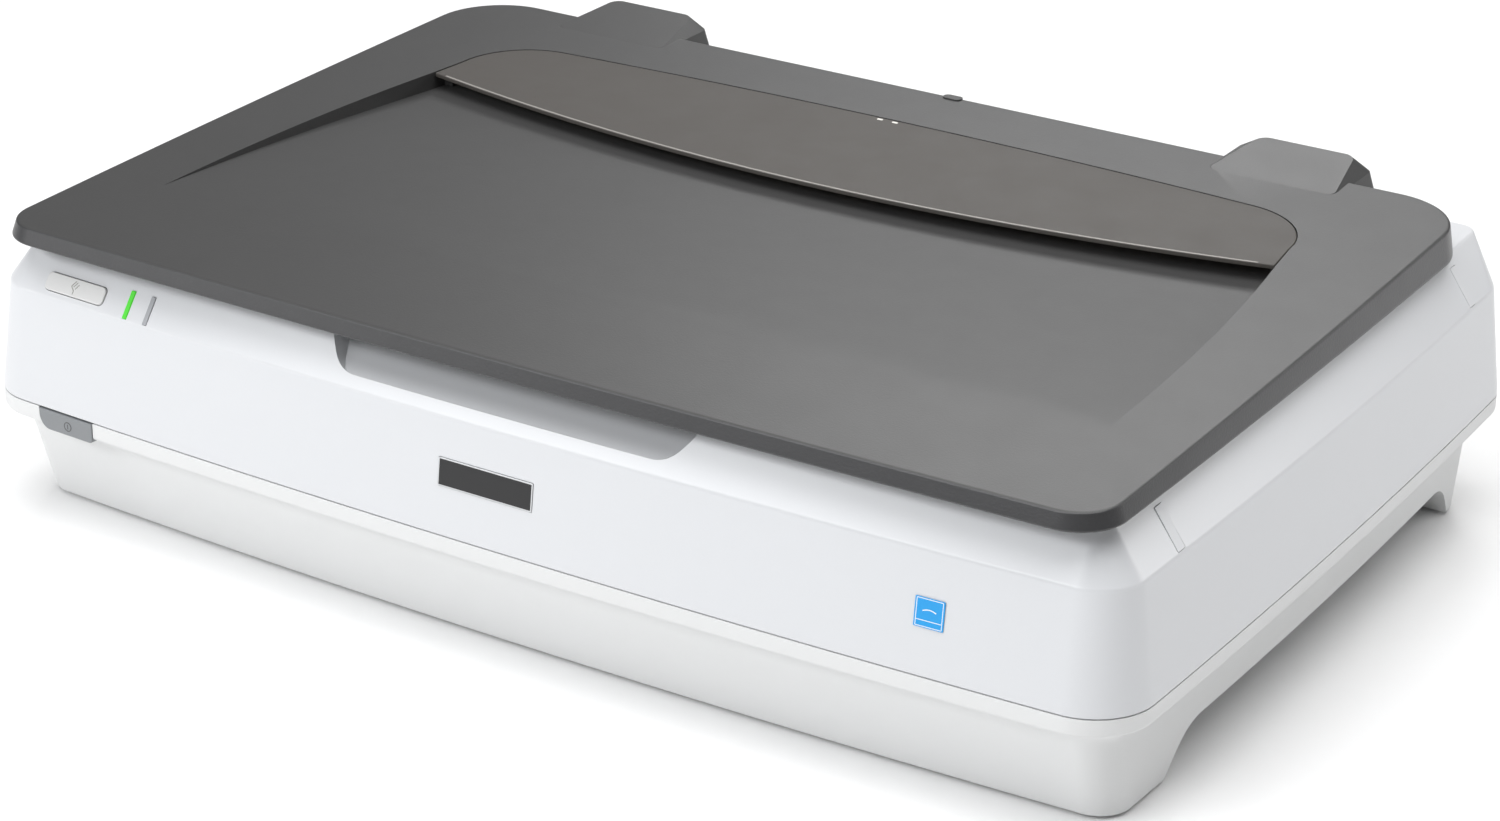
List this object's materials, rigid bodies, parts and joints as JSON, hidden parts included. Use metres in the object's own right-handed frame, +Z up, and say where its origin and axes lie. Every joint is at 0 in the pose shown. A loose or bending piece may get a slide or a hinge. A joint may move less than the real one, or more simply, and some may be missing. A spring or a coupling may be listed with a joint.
{
  "type": "flatbed scanner",
  "caption": "Wide flatbed scanner: white two-part casing, scan glass, belt-driven carriage, and a dark lift-off cover with a dished top and smoked window on sliding hinge posts.",
  "frame": {"origin": "on the ground under the middle of the casing: the centre of the bottom face of the bounding box", "axes": "+X to the user's right along the long side, +Y to the rear where the hinges are, +Z up"},
  "size_m": [0.656, 0.4572, 0.1706],
  "materials": {
    "white_plastic": "moulded, fine matte grain, slightly cool white",
    "base_plastic": "moulded, fine matte grain, slightly warmer than the upper casing",
    "cover_plastic": "moulded, fine textured dark grey",
    "smoke_plastic": "polished, smoke-tinted translucent",
    "scan_glass": "flat polished glass",
    "white_foam": "white foam sheet with a smooth skin",
    "lamp_diffuser": "white opal diffuser",
    "gloss_black": "blank dark plate with a thin light edge",
    "label_blue": "plain blue printed film, no text",
    "lamp_green": "green light pipe",
    "lamp_grey": "grey light pipe",
    "circuit_board": "green solder mask",
    "rubber": "dull black rubber",
    "zinc_steel": "zinc-plated pressed steel",
    "black_plastic": "black glass-filled plastic",
    "bright_steel": "ground steel",
    "button_grey": "matte light grey cap",
    "power_grey": "satin mid grey",
    "acetal": "natural acetal",
    "mirror": "front-silvered glass"
  },
  "bodies": {
    "base": {"lower_casing": "base_plastic", "upper_casing": "white_plastic", "document_guide_frame": "white_plastic", "trim_plug_right_front": "white_plastic", "trim_plug_right_rear": "white_plastic", "trim_plug_left_front": "white_plastic", "trim_plug_left_rear": "white_plastic", "scan_glass": "scan_glass", "calibration_strip": "white_foam", "front_nameplate": "gloss_black", "blank_front_label": "label_blue", "ready_lamp": "lamp_green", "error_lamp": "lamp_grey", "control_board": "circuit_board", "main_board": "circuit_board", "power_supply": "circuit_board", "rubber_foot_1": "rubber", "rubber_foot_2": "rubber", "rubber_foot_3": "rubber", "rubber_foot_4": "rubber", "drive_belt": "rubber", "case_screw_1": "zinc_steel", "case_screw_2": "zinc_steel", "case_screw_3": "zinc_steel", "case_screw_4": "zinc_steel", "rod_clamp_left": "zinc_steel", "rod_clamp_right": "zinc_steel", "support_rail": "zinc_steel", "motor_bracket": "zinc_steel", "idler_bracket": "zinc_steel", "power_inlet": "black_plastic", "usb_port": "bright_steel", "option_port": "bright_steel", "guide_rod": "bright_steel", "drive_motor": "bright_steel", "tension_spring": "bright_steel"},
    "hinge_posts": {"hinge_post_left": "black_plastic", "hinge_post_right": "black_plastic"},
    "cover": {"document_cover": "cover_plastic", "cover_liner": "cover_plastic", "document_mat": "white_foam", "smoke_window": "smoke_plastic", "hinge_pin_left": "bright_steel", "hinge_pin_right": "bright_steel", "cover_bumper_left": "rubber", "cover_bumper_right": "rubber"},
    "scan_button": {"scan_button": "button_grey"},
    "power_button": {"power_button": "power_grey"},
    "carriage": {"carriage_housing": "black_plastic", "carriage_bush_left": "acetal", "carriage_bush_right": "acetal", "belt_clamp": "black_plastic", "lamp_bar": "lamp_diffuser", "carriage_mirror": "mirror", "lens_block": "black_plastic", "sensor_board": "circuit_board"},
    "motor_pinion": {"motor_pinion": "acetal"},
    "reduction_gear": {"reduction_gear": "acetal"},
    "idler_pulley": {"idler_pulley": "acetal"},
    "transport_lock": {"transport_lock": "power_grey"}
  },
  "joints": [
    {"name": "cover_lift", "type": "slide", "parent": "base", "child": "hinge_posts", "axis": [0, 0, 1], "range_m": [0, 0.05]},
    {"name": "cover_hinge", "type": "hinge", "parent": "hinge_posts", "child": "cover", "pos_m": [0, 0.205, 0.158], "axis": [-1, 0, 0], "range_deg": [0, 80]},
    {"name": "scan_button_press", "type": "slide", "parent": "base", "child": "scan_button", "axis": [0.0357, 0.8173, -0.5751], "range_m": [0, 0.001], "stiffness_N_per_m": 1500, "springref_m": -0.0005},
    {"name": "power_button_press", "type": "slide", "parent": "base", "child": "power_button", "axis": [0.0436, 0.999, 0], "range_m": [0, 0.0015], "stiffness_N_per_m": 1200, "springref_m": -0.0005},
    {"name": "carriage_slide", "type": "slide", "parent": "base", "child": "carriage", "axis": [1, 0, 0], "range_m": [0, 0.463]},
    {"name": "reduction_gear_spin", "type": "hinge", "parent": "base", "child": "reduction_gear", "pos_m": [-0.28, 0.188, 0.06], "axis": [0, 0, 1], "continuous": true},
    {"name": "idler_pulley_spin", "type": "hinge", "parent": "base", "child": "idler_pulley", "pos_m": [0.28, 0.188, 0.063], "axis": [0, 0, 1], "continuous": true},
    {"name": "motor_pinion_spin", "type": "hinge", "parent": "base", "child": "motor_pinion", "pos_m": [-0.26683, 0.16518, 0.054], "axis": [0, 0, 1], "continuous": true},
    {"name": "transport_lock_turn", "type": "hinge", "parent": "base", "child": "transport_lock", "pos_m": [-0.262, -0.098, 0.03], "axis": [0, 0, 1], "range_deg": [0, 90]}
  ],
  "couplings": [
    {"joint": "reduction_gear_spin", "follows": "carriage_slide", "rad_per_m": 142.86},
    {"joint": "idler_pulley_spin", "follows": "carriage_slide", "rad_per_m": 142.86},
    {"joint": "motor_pinion_spin", "follows": "carriage_slide", "rad_per_m": -476.19}
  ]
}
